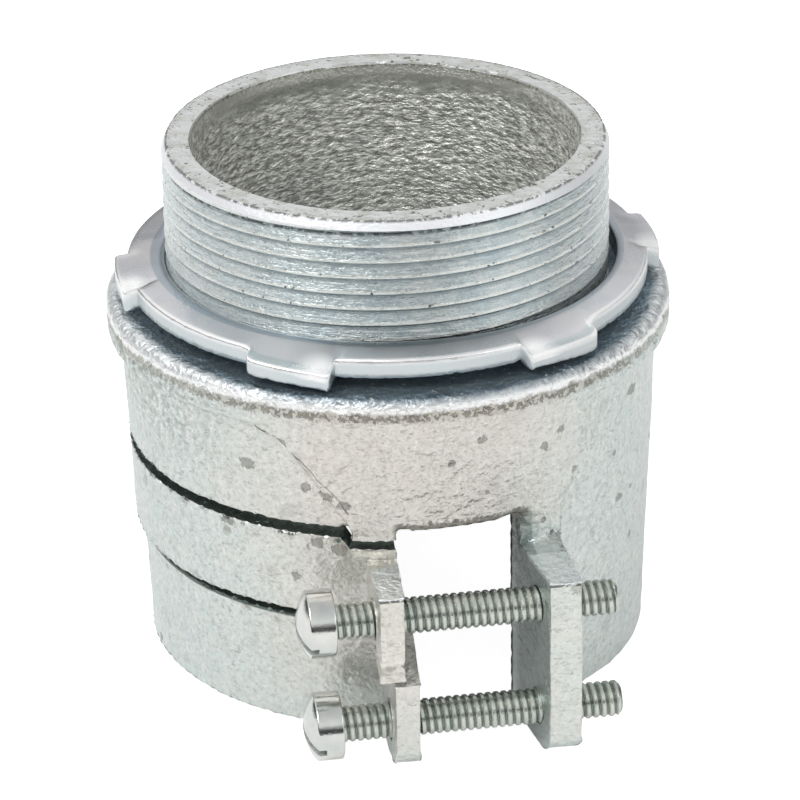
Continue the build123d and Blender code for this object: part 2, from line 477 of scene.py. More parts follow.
def refine(piece, spec):
    mesh = bmesh.new()
    mesh.from_mesh(piece.data)
    fineHeight, fineReach = spec["fineZone"]
    margin = spec["slitMargins"][0]

    def splitFaces():
        # triangles only, and none without a width, which would double at each split
        bmesh.ops.triangulate(mesh, faces=mesh.faces[:])
        bmesh.ops.dissolve_degenerate(mesh, dist=sameSpot, edges=mesh.edges[:])

    def tooLong(edge):
        middle = (edge.verts[0].co + edge.verts[1].co) / 2
        reach = math.hypot(middle.x, middle.y)
        fine = middle.z > fineHeight * mm and reach > fineReach * mm
        fine = fine or (reach > spec["skinReach"] * mm and nearSlit(middle, spec, margin))
        return edge.calc_length() > (spec["fineEdge"] if fine else spec["longestEdge"]) * mm

    splitFaces()
    bmesh.ops.triangulate(mesh, faces=mesh.faces[:])
    for _ in range(spec["splitRounds"]):
        longEdges = [e for e in mesh.edges if tooLong(e)]
        if not longEdges:
            break
        bmesh.ops.subdivide_edges(mesh, edges=longEdges, cuts=1)
        splitFaces()
    mesh.normal_update()
    mesh.to_mesh(piece.data)
    mesh.free()


def softenCreases(mesh, angles, wanted, widen, passes):
    sharpest, flattest = angles
    creases = set()
    for edge in mesh.edges:
        if len(edge.link_faces) == 2 and sharpest < edge.calc_face_angle_signed(0) < flattest:
            if wanted((edge.verts[0].co + edge.verts[1].co) / 2):
                creases.update(edge.verts)
    for _ in range(widen):
        creases.update(v for c in list(creases) for e in c.link_edges for v in e.verts)
    for _ in range(passes):
        bmesh.ops.smooth_vert(
            mesh, verts=list(creases), factor=0.5,
            use_axis_x=True, use_axis_y=True, use_axis_z=True,
        )
    mesh.normal_update()


def castSurface(piece, spec):
    # the mould's texture goes inwards, so the casting stays inside its solid's box
    mesh = bmesh.new()
    mesh.from_mesh(piece.data)
    low, high = (h * mm for h in spec["padCrease"])
    left, right = spec["padAngles"]
    flangeFoot, flangeSide = spec["underFlange"]
    (rootLeft, rootRight), (rootLow, rootHigh), rootFront = spec["earRoot"]

    def onPad(place):
        outside = math.hypot(place.x, place.y) > spec["skinReach"] * mm
        return outside and low < place.z < high and left < angleFromFront(place) < right

    def underFlange(place):
        inFront = abs(angleFromFront(place)) < flangeSide
        return place.z > flangeFoot * mm and onPad(place) and inFront

    def earRoot(place):
        across, deep, height = (c / mm for c in place)
        inFront = deep < rootFront
        return rootLeft < across < rootRight and rootLow < height < rootHigh and inFront

    softenCreases(mesh, spec["creases"], onPad, 2, 6)
    softenCreases(mesh, spec["creases"], underFlange, 5, 30)
    softenCreases(mesh, spec["creases"], earRoot, 3, 14)
    worn = set()
    for edge in mesh.edges:
        if len(edge.link_faces) == 2 and edge.calc_face_angle(0) > spec["wornAngle"]:
            worn.update(edge.verts)
    moves = {}
    margin = spec["slitMargins"][1]
    ridgeLow, ridgeHigh = spec["ridge"]
    fadeBelow, fadeAbove = spec["ridgeFade"]
    for corner in mesh.verts:
        place = corner.co
        reach = math.hypot(place.x, place.y) / mm
        height = place.z / mm
        depth = 0.0
        for size, seed, amount in spec["sand"]:
            depth += amount * (grain(place, size, seed) - spec["sandLevel"])
        if reach > spec["slitReach"] and nearSlit(place, spec, margin):
            depth -= spec["slitWear"] * bite(place, spec["slitBites"])
        elif corner in worn:
            wear = spec["earWear"] if place.y < spec["earFront"] * mm else spec["edgeWear"]
            depth -= wear * bite(place, spec["edgeBites"])
        if reach > spec["ridgeReach"]:
            onRidge = smoothStep(height, ridgeLow - fadeBelow, ridgeLow)
            onRidge *= 1 - smoothStep(height, ridgeHigh, ridgeHigh + fadeAbove)
            pit = max(0, grain(place, 1.3, 5.0) + 0.5 * grain(place, 0.7, 6.0) + 0.1)
            depth -= spec["ridgePits"] * onRidge * pit
        moves[corner] = corner.normal * depth * mm
    floorCorner, roofCorner = cadBox
    for corner, move in moves.items():
        spot = corner.co + move
        corner.co = [min(max(c, a), b) for c, a, b in zip(spot, floorCorner, roofCorner)]
    mesh.to_mesh(piece.data)
    mesh.free()


castBody = mergedCopy("connector_body", "castBody")
takeOffSpigot(castBody, casting)
roundEdges(castBody, casting["edgeRound"], 2, 50)
closeStep(castBody, casting)
refine(castBody, casting)
flattenEarSide(castBody, casting)
castSurface(castBody, casting)
share = casting["triangles"] / len(castBody.data.polygons)
if share < 1:
    applyModifier(castBody, "DECIMATE", ratio=share, use_collapse_triangulate=True)
cleanUp(castBody, smoothAngle=45)
print("casting:", len(castBody.data.polygons), "faces")


# Spigot: a rolled-grid thread, its chamfered rim and the rough throat, one closed shell

spigot = {
    "pitch": 2.209,  # eleven and a half turns to the inch
    "crestAtFront": 70.65,  # height of the first crest, 10 degrees left of the front
    "crestAngle": -10.0,
    "threadDepth": 0.5,
    "profile": (0.0, 0.05, 0.2, 0.36, 0.5, 0.64, 0.78, 0.9, 1.0, 0.7),
    "columns": 300,
    "chamferFoot": 70.68,
    "pits": 0.22,
    "nicks": (1.3, 4.0, -0.45),  # size, seed, and how few of them there are
    "rimPits": (0.5, 0.3),  # how near an edge of the rim they lie, and their share of pits
    "throatLumps": (1.0, 0.26),
    "throatFade": (0.4, 2.2),  # the lumps grow between these distances below the rim
    "throatZone": (26.3, 71.7),  # the throat's finish is inside and below these
    "path": (
        (30.15, 50.0), (30.15, 70.68), (29.55, 71.9), (26.4, 71.9), (25.9, 70.3),
        (25.9, 47.1), (27.6, 47.1), (27.6, 50.0), (30.15, 50.0),
    ),
}


def makeSpigot(spec):
    steps = len(spec["profile"])
    pitch = spec["pitch"]
    step = pitch / steps
    corners = pathCorners(spec["path"])
    start = spec["path"][0][1]
    firstCrest = spec["crestAtFront"] - start
    turnsBelow = math.ceil(firstCrest / pitch) + 1
    rows = math.ceil((corners[-1] + (turnsBelow + 1) * pitch) / step)
    rimBand, rimShare = spec["rimPits"]
    fadeStart, fadeEnd = spec["throatFade"]

    def place(turn, row):
        angle = math.radians(spec["crestAngle"] - 90) + turn * 2 * math.pi
        distance = firstCrest - turnsBelow * pitch + row * step + turn * pitch
        for corner in corners:
            if abs(distance - corner) < step / 2:
                distance = corner
        reach, height = alongPath(spec["path"], distance)
        around = Vector((math.cos(angle), math.sin(angle), 0))
        point = around * reach * mm + Vector((0, 0, height * mm))
        if corners[0] < distance < corners[1] - step / 2:
            drop = spec["profile"][row % steps] * spec["threadDepth"]
            if row % steps < 2:
                drop += bite(point, spec["nicks"]) * spec["pits"]
            reach -= drop
        elif corners[1] <= distance <= corners[4]:
            pit = grain(point, 0.8, 2.0) + 0.6 * grain(point, 2.6, 5.0) - 0.35
            near = min(abs(distance - c) for c in (corners[1], corners[2], corners[3]))
            if pit > 0 and near < rimBand:
                height -= pit * spec["pits"] * rimShare
        elif corners[4] < distance < corners[5] + step:
            size, depth = spec["throatLumps"]
            fade = smoothStep(distance, corners[4] + fadeStart, corners[4] + fadeEnd)
            wide = Vector((point.x * 0.55, point.y * 0.55, point.z)) / (size * mm)
            lump = noise.voronoi(wide)[0][0] * 1.3
            lump += 0.5 * grain(point, 3.0, 1.0)
            reach += depth * fade * min(max(lump, 0), 1.2)
        return Vector((around.x * reach, around.y * reach, height)) * mm

    piece = rolledGrid("threadedSpigot", spec["columns"], rows, place)
    cleanUp(piece, gap=0.00001, smoothAngle=38)
    return piece


threadedSpigot = makeSpigot(spigot)
print("spigot:", len(threadedSpigot.data.polygons), "faces")


# Locknut: stamped ring with six lugs, each dropped and curled at the end nearest the front

nut = {
    "bore": 30.2,
    "rim": 35.4,
    "lugRim": 37.08,
    "bottom": 52.2,
    "top": 54.95,
    "crown": 0.7,  # the top rises this much from the rim to the bore
    "columns": 960,
    "lugHalf": 9.25,
    "lugEnd": 0.9,  # degrees over which a lug's end steps out
    "lugFade": 2.6,  # degrees over which its slope starts
    "tongue": (0.04, 0.16),  # the side lugs drop over this share of their length
    "wideSide": 0.9,  # the countersink is off centre, towards +X
    "lugs": {  # droop and side height at the front end, then at the back end
        30: (1.25, 1.9, 1.6, 2.55),
        -30: (1.5, 2.4, 0.95, 2.4),
        90: (0.55, 3.1, 0.2, 2.6),
        -90: (0.55, 3.1, 0.2, 2.6),
        150: (0.6, 2.5, 0.4, 2.5),
        -150: (0.6, 2.5, 0.4, 2.5),
    },
    "curl": (0.3, 0.1, 1.3, 0.025),  # each lug's front end is pressed down past its own slope
    "frontPart": (0.3, 0.5),  # a lug is sharply bent before these shares of its length
    "fold": (2.2, 0.3),  # the slope starts this far off the bore and ends past the rim
    "sharpBand": (0.9, 0.2),
    "waves": ((11.0, 6.0, 0.06), (3.5, 7.0, 0.03)),  # size, seed and height
    "highlightPeak": (0.12, 0.28),  # where the painted highlight on a lug's slope is brightest, and how widely
    "highlightEdge": (33.0, 35.0),
    "highlightFloor": 53.5,
    "waveReach": 0.4,
    "nicks": (1.5, 8.0, -0.3),  # size, seed, and how few of them there are
    "nickDepths": (0.16, 0.02),
    "burr": (0.9, 12.0, 0.0),
    "burrHeight": 0.22,
    "sideRows": 20,
    "section": (  # where from, then how far out and up each corner lies
        ("bore", "bottom", (0.5, 0.0), (0.0, 0.45)),
        ("bore", "top", (0.0, -1.6), (0.0, -0.7), (0.35, -0.3), (0.75, -0.05)),
        ("bore", "top", (1.1, 0.0), (1.7, 0.0), (2.6, 0.0)),
        ("rim", "top", (-1.9, 0.0), (-1.2, 0.0), (-0.6, 0.0), (-0.34, -0.03)),
        ("rim", "top", (-0.12, -0.12), (0.0, -0.32), (0.0, -0.9)),
        ("rim", "bottom", (0.0, 0.9), (-0.03, 0.25), (-0.15, 0.05), (-0.4, 0.0), (-1.6, 0.0)),
        ("bore", "bottom", (2.2, 0.0), (0.5, 0.0)),
    ),
    "rimHighlightRows": (12, 13, 14),
}


def lugAt(spec, angle):
    # how far on a lug, sharply and softly, the share along it, its droop and side height
    half = spec["lugHalf"]
    edge = spec["lugEnd"] / (2 * half)
    soft = spec["lugFade"] / (2 * half)
    depth, length, rebound, tip = spec["curl"]
    for lug, (frontDroop, frontSide, backDroop, backSide) in spec["lugs"].items():
        if lug * angle <= 0:
            continue
        along = (abs(angle) - abs(lug) + half) / (2 * half)
        near = smoothStep(along, -soft, soft) * (1 - smoothStep(along, 1 - soft, 1 + soft))
        if near > 0:
            inside = smoothStep(along, -edge / 2, edge / 2)
            inside *= 1 - smoothStep(along, 1 - edge / 2, 1 + edge / 2)
            share = min(max(along, 0), 1)
            reachIn = smoothStep(share, *spec["tongue"]) if abs(lug) == 90 else share
            droop = frontDroop + (backDroop - frontDroop) * reachIn
            droop += depth * (math.exp(-share / length) - rebound * math.exp(-share / tip))
            return inside, near, share, droop, frontSide + (backSide - frontSide) * reachIn
    return 0.0, 0.0, 1.0, 0.0, 0.0


def makeLocknut(spec):
    section = []
    for kind, level, *spots in spec["section"]:
        section += [(kind, level, out, up) for out, up in spots]
    boreRadius, rimRadius = spec["bore"], spec["rim"]
    foldIn, foldOut = spec["fold"]
    sharpWidth, sharpLeast = spec["sharpBand"]
    peak, width = spec["highlightPeak"]
    nickDepth, nickLevel = spec["nickDepths"]
    rimHighlight = []
    lugHighlight = []

    def place(turn, row):
        angle = 360 * turn - 180
        lugShare, lugNear, share, droop, sideHeight = lugAt(spec, angle)
        frontEnd = 1 - smoothStep(share, *spec["frontPart"]) if lugNear > 0 else 0.0
        radians = math.radians(angle - 90)
        around = Vector((math.cos(radians), math.sin(radians), 0))
        kind, level, out, up = section[row]
        bore = boreRadius + spec["wideSide"] * max(0, around.x) ** 0.7
        rim = rimRadius + (spec["lugRim"] - rimRadius) * lugShare
        reach = (bore if kind == "bore" else rim) + out
        fold = smoothStep(reach, boreRadius + foldIn, rimRadius + foldOut)
        slope = min(max((rimRadius - reach) / (rimRadius - boreRadius), 0), 1)
        top = spec["top"] + spec["crown"] * slope
        sharp = smoothStep(reach, rimRadius - sharpWidth, rimRadius)
        sharp *= sharpLeast + (1 - sharpLeast) * frontEnd
        top -= droop * fold * (lugNear + (lugShare - lugNear) * sharp)
        thick = spec["top"] - spec["bottom"]
        thick += (sideHeight - thick) * lugNear * fold
        if kind == "bore" and level == "bottom":
            top = spec["top"]
        height = top + up if level == "top" else top - thick + up
        point = Vector((around.x * reach, around.y * reach, height)) * mm
        wave = sum(grain(point, size, seed) * rise for size, seed, rise in spec["waves"])
        if level == "top" and reach > bore + spec["waveReach"]:
            point.z += (wave - spec["waves"][0][2]) * mm
        if kind == "rim" and row < spec["sideRows"]:
            point -= around * (bite(point, spec["nicks"]) * nickDepth + nickLevel) * mm
        if kind == "rim" and level == "bottom":
            point.z += bite(point, spec["burr"]) * spec["burrHeight"] * mm
        # painted highlight along the ring's top outer edge, on these rows
        rimHighlight.append(1.0 if row in spec["rimHighlightRows"] else 0.0)
        # painted highlight: white on the top of each lug's slope near its front end
        shine = math.exp(-((share - peak) / width) ** 2) * smoothStep(reach, *spec["highlightEdge"])
        seen = level == "top" and height > spec["highlightFloor"] - droop
        lugHighlight.append(shine * lugNear if seen else 0.0)
        return point

    piece = rolledGrid("stampedLocknut", spec["columns"], len(section) - 1, place)
    markCorners(piece, "rimHighlight", rimHighlight)
    markCorners(piece, "lugHighlight", lugHighlight)
    cleanUp(piece, gap=0.000006, smoothAngle=42)
    return piece


stampedLocknut = makeLocknut(nut)
print("locknut:", len(stampedLocknut.data.polygons), "faces")


# Clamp screws: slotted round-head machine screws, one pattern set in two places

screw = {
    "radius": 2.415,
    "length": 37.7,
    "pitch": 1.058,  # twenty-four turns to the inch
    "threadDepth": 0.26,
    "profile": (0.0, 0.0, 0.0, 0.04, 0.5, 1.0, 1.0, 0.5),
    "columns": 48,
    "neck": (-1.2, 1.8, 0.6),  # the shank starts inside the head, narrower over this length
    "tipChamfer": 0.55,
    "headRadius": 4.55,
    "headSide": 3.45,
    "headDome": 1.5,
    "headRounds": 0.45,
    "headColumns": 96,
    "domeRows": 12,
    "slotWidth": 1.05,
    "slotDepth": 2.5,
    "slotRounds": 0.12,
    "axisReach": -41.0,
    "places": (
        ("upperClampScrew", -14.45, 20.7, -64.0, 0.0),
        ("lowerClampScrew", -13.8, 5.3, -68.0, 140.0),
    ),
}


def makeShank(spec):
    steps = len(spec["profile"])
    step = spec["pitch"] / steps
    start, neckRadius, neckLength = spec["neck"]
    radius, tip, chamfer = (spec[k] for k in ("radius", "length", "tipChamfer"))
    path = (
        (0.0, start), (neckRadius, start), (radius, start + neckLength),
        (radius, tip - chamfer), (radius - chamfer, tip), (0.0, tip),
    )
    corners = pathCorners(path)
    rows = math.ceil((corners[-1] + 2 * spec["pitch"]) / step)
    grooves = []

    def place(turn, row):
        grooves.append(spec["profile"][row % steps])
        angle = turn * 2 * math.pi
        distance = (row * step) + (turn - 1) * spec["pitch"]
        for corner in corners:
            if abs(distance - corner) < step / 2:
                distance = corner
        reach, along = alongPath(path, distance)
        if corners[2] < distance < corners[4]:
            reach = min(reach, radius - grooves[-1] * spec["threadDepth"])
        return Vector((along, math.cos(angle) * reach, math.sin(angle) * reach)) * mm

    piece = rolledGrid("screwShank", spec["columns"], rows, place)
    markCorners(piece, "groove", grooves)
    cleanUp(piece, gap=0.000006, smoothAngle=28)
    return piece


def makeHead(spec, turned):
    radius, side, dome = (spec[k] for k in ("headRadius", "headSide", "headDome"))
    ball = (radius ** 2 + dome ** 2) / (2 * dome)
    outline = [(0.0, 0.0), (radius * 0.5, 0.0), (radius - 0.15, 0.0), (radius, 0.15)]
    outline += [(radius, side * share) for share in (0.25, 0.5, 0.7)]
    edgeAngle = math.asin(radius / ball)
    for index in range(spec["domeRows"] + 1):
        angle = edgeAngle * (1 - index / spec["domeRows"])
        outline.append((ball * math.sin(angle), side + dome - ball * (1 - math.cos(angle))))

    def place(turn, row):
        reach, along = outline[row]
        angle = turn * 2 * math.pi
        return Vector((-along, math.cos(angle) * reach, math.sin(angle) * reach)) * mm

    piece = rolledGrid("screwHead", spec["headColumns"], len(outline) - 1, place)
    cleanUp(piece, gap=0.000006)
    roundEdges(piece, spec["headRounds"], 3, 30)
    deselectAll()
    bpy.ops.mesh.primitive_cube_add(size=1, location=(-(side + dome) * mm, 0, 0))
    cutter = bpy.context.object
    cutter.scale = (2 * spec["slotDepth"] * mm, spec["slotWidth"] * mm, 4 * radius * mm)
    cutter.rotation_euler = Euler((math.radians(turned), 0, 0))
    settle(cutter)
    applyModifier(piece, "BOOLEAN", operation="DIFFERENCE", object=cutter, solver="EXACT")
    bpy.data.objects.remove(cutter)
    roundEdges(piece, spec["slotRounds"], 2, 40)
    cleanUp(piece, gap=sameSpot, smoothAngle=35)
    return piece


def makeScrew(spec, name, underHead, height, turned, threadTurn):
    shank = makeShank(spec)
    shank.rotation_euler = Euler((math.radians(threadTurn), 0, 0))
    settle(shank)
    head = makeHead(spec, turned)
    pickUp(head)
    shank.select_set(True)
    bpy.ops.object.join()
    piece = bpy.context.object
    piece.name = name
    piece.data.name = name
    piece.location = (underHead * mm, spec["axisReach"] * mm, height * mm)
    settle(piece)
    return piece


clampScrews = [makeScrew(screw, *place) for place in screw["places"]]
print("screws:", [len(s.data.polygons) for s in clampScrews], "faces")


# Finishes

def brokenLine(across, height, points):
    # hairline through the given points, each across and up
    level = points[0][1]
    for (start, low), (end, high) in zip(points, points[1:]):
        level = plus(ramp(across, start, end, 0, high - low), level)
    off = minus(height, level)
    within = between(across, points[0][0], points[-1][0])
    return times(between(off, -0.1, 0.1, 0.06), within)


def roundMark(across, height, edge, spot):
    middle, level, size = spot
    aside = minus(across, middle)
    above = minus(height, level)
    away = plus(times(aside, aside), times(above, above))
    away = plus(calculate("SQRT", away), edge)
    return ramp(away, size + 0.08, size - 0.08)


def zincCasting(spec):
    # zinc plate on a sand casting: bright satin, with the sand's grain and pits under it
    material, tree = newMaterial("zincPlatedCasting")
    place = objectPlace(tree)
    across, deep, height = (coordinate(tree, axis) for axis in range(3))
    reach = axisDistance(tree)
    slow = noiseNode(place, 14.0)
    patch = noiseNode(place, 3.6, 3.0, 0.6)
    sand = noiseNode(place, 0.75, 3.0, 0.7)
    ruffled = plus(height, times(minus(patch, 0.5), 1.5))
    wrinkle = noiseNode(objectPlace(tree, (0.8, 0.8, 1)), 1.25, 2.0, 0.6)
    # painted light: warmer on the front pad and cooler round the sides, as each is lit
    turned = calculate("ABSOLUTE", plus(across, 3.0))
    turned = plus(turned, times(slow, 12.0))
    onJaws = times(between(across, -26, -1, 5), ramp(height, 3, 14, 0.3, 0.85))
    onHood = ramp(height, 27.5, 29.5)
    warm = times(ramp(turned, 34, 18), larger(onHood, onJaws))
    colour = tint("#D5DEDC", warm, "#DEDAD3")
    colour = tint(colour, ramp(patch, 0.45, 0.7, 0, 0.4), "#F0EEE8")
    colour = tint(colour, ramp(sand, 0.5, 0.3, 0, 0.5), "#A7A69E")
    colour = tint(colour, ramp(sand, 0.58, 0.72, 0, 0.6), "#FAFAF6")
    # the left of the hood is sandier and greyer
    sandy = times(ramp(across, -24, -33), ramp(height, 33, 40))
    speck = noiseNode(place, 0.9, 3.0, 0.7)
    colour = tint(colour, times(sandy, ramp(speck, 0.54, 0.42, 0, 0.5)), "#8F958E")
    colour = tint(colour, times(sandy, ramp(speck, 0.56, 0.64, 0, 0.55)), "#F8FAF8")
    # round grey pock marks, thinly scattered, and wider smudges
    pocks = addNode(tree, "ShaderNodeTexVoronoi", {"feature": "F1"}, {
        "Vector": place, "Scale": 1 / 6.5, "Randomness": 1.0,
    })
    ragged = plus(pocks.outputs["Distance"], times(sand, 0.1))
    pock = ramp(ragged, 0.15, 0.13)
    smudge = ramp(noiseNode(place, 5.0, 1.0), 0.66, 0.72)
    marks = larger(pock, times(smudge, ramp(sand, 0.4, 0.6), 0.6))
    edge = times(minus(sand, 0.5), 1.6)
    facing = ramp(deep, -8, -12)
    for spot in spec["spots"]:
        mark = times(facing, roundMark(across, height, edge, spot))
        marks = larger(marks, mark)
    colour = tint(colour, marks, "#7E7D75", 0.62)
    parting = times(facing, brokenLine(across, ruffled, spec["partingLine"]))
    colour = tint(colour, parting, "#6F6C63", 0.5)
    # the flange: painted shade on the seat beside the nut, a painted white highlight on the
    # rounding and its top, then a pitted ridge at the front
    front = ramp(deep, -14, -33)
    outer = ramp(reach, 36.8, 37.2)
    pits = noiseNode(place, 0.75, 3.0, 0.65)
    jagged = plus(height, times(sand, 2.6))
    ridge = times(outer, between(jagged, 48.7, 49.8, 0.25))
    pitted = times(ridge, ramp(pits, 0.46, 0.54), ramp(front, 0, 1, 0.35, 1))
    colour = tint(colour, ridge, "#C4BDAF", 0.35)
    colour = tint(colour, pitted, "#6B685D", 0.68)
    # painted highlight: the flange's rounding and the band above it are painted near white
    rounding = times(outer, ramp(jagged, 49.7, 50.0))
    colour = tint(colour, rounding, "#FCFDFD")
    top = ramp(height, 49.3, 49.7)
    colour = tint(colour, top, "#F4F8F9")
    # painted shade: the seat beside the nut is painted dark blue-grey, wider at the front, with
    # white flecks
    seatShadeEdge = minus(plus(36.5, times(front, 1.65)), times(sand, 1.2))
    seatShadeEdge = minus(seatShadeEdge, reach)
    seatShade = times(top, ramp(seatShadeEdge, -1.2, 0.2))
    fleck = times(seatShade, ramp(pits, 0.63, 0.68))
    flat = ramp(reach, 37.3, 36.5)
    seatShadeColour = tint("#687883", flat, "#95A8B2")
    colour = mixColour(seatShade, colour, seatShadeColour)
    colour = tint(colour, fleck, "#F2F5F5")
    # painted shade inside the slits, the bore darker for its rough-cast wall and with painted
    # shade, bright burrs and grey smudges beside the slits
    slitEnd = math.cos(math.radians(spec["slitEnd"]))
    aheadOfEnd = ramp(calculate("DIVIDE", deep, reach), 0.006 - slitEnd, -0.004 - slitEnd)
    left = times(ramp(across, 0.5, -0.5), aheadOfEnd)
    upperSlit = between(height, 28.8, 30.0, 0.15)
    lowerSlit = between(height, 15.7, 17.5, 0.15)
    slits = times(left, larger(upperSlit, lowerSlit))
    burrs = times(slits, ramp(wrinkle, 0.5, 0.56))
    colour = tint(colour, burrs, "#F7F7F3", 0.6)
    upperEdge = between(height, 26.6, 28.8, 0.5)
    lowerEdge = between(height, 14.8, 16.2, 0.3)
    below = times(left, larger(upperEdge, lowerEdge))
    sooty = times(below, ramp(noiseNode(place, 3.0), 0.58, 0.66))
    colour = tint(colour, sooty, "#8A877C", 0.6)
    # the bore's inside is darker: partly its rough-cast wall, partly painted shade
    bore = times(ramp(reach, 33.2, 33.0), ramp(height, 45.8, 45.2))
    colour = tint(colour, bore, "#747C7B")
    # the barrel grows upwards by its draft, and a slit's faces lie inside its skin
    skin = plus(35.1, times(height, 0.0384))
    within = ramp(minus(skin, reach), 0.3, 0.42)
    # painted shade: the slits' faces and the jaw's top under the tab are painted dark grey
    cut = larger(between(height, 28.3, 30.4), between(height, 15.9, 17.3))
    underTab = times(between(across, -11.2, -3.5), between(height, 27.4, 29.3, 0.08))
    cut = times(left, larger(cut, underTab), within, ramp(reach, 30, 31))
    colour = tint(colour, cut, "#626E69")
    # painted highlight: a near-white patch on the jaw's top ledge under the tab
    curl = times(between(across, -10.6, -6.6, 0.3), between(height, 26.5, 27.3))
    colour = tint(colour, times(curl, ramp(deep, -30, -32)), "#FFFDF2")
    # the ears' sawn fronts are painted brighter, a painted highlight; the window's torn upper lip
    # is darker
    colour = tint(colour, ramp(deep, -45.9, -46.2, 0, 0.35), "#F4F0E6")
    # painted shade: the tapped ear's inner side, facing the gap, is painted darker
    earSide = times(between(across, 9.5, 13.42, 0.06), ramp(deep, -32, -34))
    colour = tint(colour, times(earSide, ramp(height, 30.6, 30.3)), "#8C9896", 0.6)
    lip = times(between(across, -5.5, 13.0, 0.4), ramp(jagged, 33.4, 32.9))
    colour = tint(colour, times(lip, facing, ramp(height, 30.2, 30.4)), "#66645B", 0.75)
    # the ears' tops are painted paler, a painted highlight, with a torn dark line where they meet
    # the sawn front
    earTop = times(between(height, 25.75, 26.6), ramp(deep, -37.2, -37.8))
    colour = tint(colour, earTop, "#F6FDFF", 0.7)
    tear = times(between(height, 25.55, 25.95, 0.06), ramp(deep, -45.7, -46.0))
    colour = tint(colour, times(tear, ramp(pits, 0.44, 0.5)), "#50524B", 0.85)
    rough = ramp(patch, 0.3, 0.7, 0.27, 0.42)
    bump = bumps(
        (patch, 0.5), (wrinkle, 0.42), (sand, 0.2), (minus(1.0, marks), 0.12),
        (minus(1.0, parting), 0.12), (minus(1.0, pitted), 0.25),
    )
    return coated(material, colour, 0.8, rough, bump)


def zincThread():
    # the same plate over a machined thread: paler and bluer, with painted reflection on the
    # sides, crests bright from worn plate and painted highlight, and painted shade in the roots,
    # darkest in torn lines near the top
    material, tree = newMaterial("zincPlatedThread")
    place = objectPlace(tree)
    lines = noiseNode(objectPlace(tree, (0.1, 0.1, 1)), 0.26, 3.0, 0.65)
    patch = noiseNode(place, 4.0, 3.0)
    torn = noiseNode(place, 1.3, 3.0, 0.7)
    fine = noiseNode(place, 0.4, 2.0, 0.6)
    reach = axisDistance(tree)
    height = coordinate(tree, 2)
    side = calculate("ABSOLUTE", coordinate(tree, 0))
    colour = tint("#B9C6CA", ramp(patch, 0.35, 0.65), "#CBD3D2")
    # painted reflection: the thread is lighter towards the sides
    colour = tint(colour, ramp(side, 12, 30, 0, 0.85), "#E6EFEF")
    colour = tint(colour, ramp(lines, 0.5, 0.32, 0, 0.3), "#8E9BA1")
    colour = tint(colour, ramp(lines, 0.56, 0.7, 0, 0.6), "#F2F6F5")
    wander = plus(reach, times(torn, 0.12))
    # the crests are bright: worn plate and painted highlight
    crest = ramp(wander, 30.1, 30.17)
    colour = tint(colour, crest, "#EEF1EC", 0.8)
    # painted shade in the roots, darkest in torn lines near the top
    root = ramp(wander, 29.84, 29.74)
    colour = tint(colour, root, "#76848A", 0.55)
    topRoot = times(root, ramp(torn, 0.4, 0.5), ramp(height, 68.9, 69.3))
    colour = tint(colour, topRoot, "#2E3537", 0.85)
    nick = times(ramp(noiseNode(place, 0.9), 0.66, 0.7), crest)
    colour = tint(colour, nick, "#4A4A44")
    metal = ramp(side, 12, 30, 0.85, 0.6)
    rough = ramp(lines, 0.3, 0.7, 0.22, 0.38)
    bump = bumps((lines, 0.1), (torn, 0.16), (fine, 0.05))
    return coated(material, colour, metal, rough, bump)


def roughThroat():
    # unmachined wall of the throat: short lumpy ridges that lie level, each with a painted glint
    material, tree = newMaterial("asCastThroat")
    place = objectPlace(tree)
    level = objectPlace(tree, (0.5, 0.5, 1))
    lump = noiseNode(level, 0.62, 2.0, 0.6)
    fine = noiseNode(place, 0.45, 2.0, 0.6)
    streak = noiseNode(objectPlace(tree, (1, 1, 0.12)), 0.5)
    height = coordinate(tree, 2)
    uneven = plus(height, times(noiseNode(place, 4.0), 6.0))
    uneven = minus(uneven, ramp(coordinate(tree, 1), 22, 6, 0, 4))
    deep = ramp(uneven, 72.6, 68.8)
    # painted highlight: the tops of the lumps are painted near white
    colour = tint("#AEAFA9", ramp(lump, 0.38, 0.62), "#F8F9F3")
    smooth = tint("#A4A69E", streak, "#BDBFB7")
    colour = mixColour(deep, smooth, colour)
    stain = times(ramp(height, 71.2, 71.5), ramp(fine, 0.45, 0.6))
    colour = tint(colour, stain, "#6E6B54")
    bump = bumps((times(deep, lump), 0.75), (fine, 0.14))
    return coated(material, colour, 0.35, 0.27, bump)


def machinedRim():
    # turned end face: near white, with fine open pores of the casting
    material, tree = newMaterial("machinedRim")
    place = objectPlace(tree)
    pores = noiseNode(place, 0.5, 3.0, 0.65)
    wide = noiseNode(place, 3.0, 3.0)
    torn = noiseNode(place, 1.1, 3.0, 0.7)
    reach = axisDistance(tree)
    turned = addNode(tree, "ShaderNodeTexNoise", {"noise_dimensions": "1D"}, {
        "W": times(reach, 4.0), "Detail": 2.0,
    }).outputs[0]
    flat = ramp(reach, 29.6, 29.3)
    colour = tint("#F8FAFD", flat, "#F6F8F7")
    rings = times(flat, ramp(turned, 0.48, 0.36, 0, 0.6), ramp(wide, 0.35, 0.55))
    colour = tint(colour, rings, "#BEC3BF")
    colour = tint(colour, times(flat, ramp(wide, 0.5, 0.65, 0, 0.6)), "#D3D3C8")
    outer = times(flat, ramp(reach, 28.3, 28.9))
    colour = tint(colour, times(outer, ramp(pores, 0.5, 0.6, 0, 0.5)), "#A3A39A")
    seam = times(between(reach, 29.34, 29.66, 0.06), ramp(torn, 0.45, 0.5))
    dark = times(flat, ramp(torn, 0.6, 0.63), ramp(wide, 0.42, 0.5))
    colour = tint(colour, larger(dark, seam), "#55554D", 0.8)
    bump = bumps((pores, 0.08), (times(flat, torn), 0.12))
    return coated(material, colour, ramp(flat, 0, 1, 0.35, 0.65), 0.36, bump)


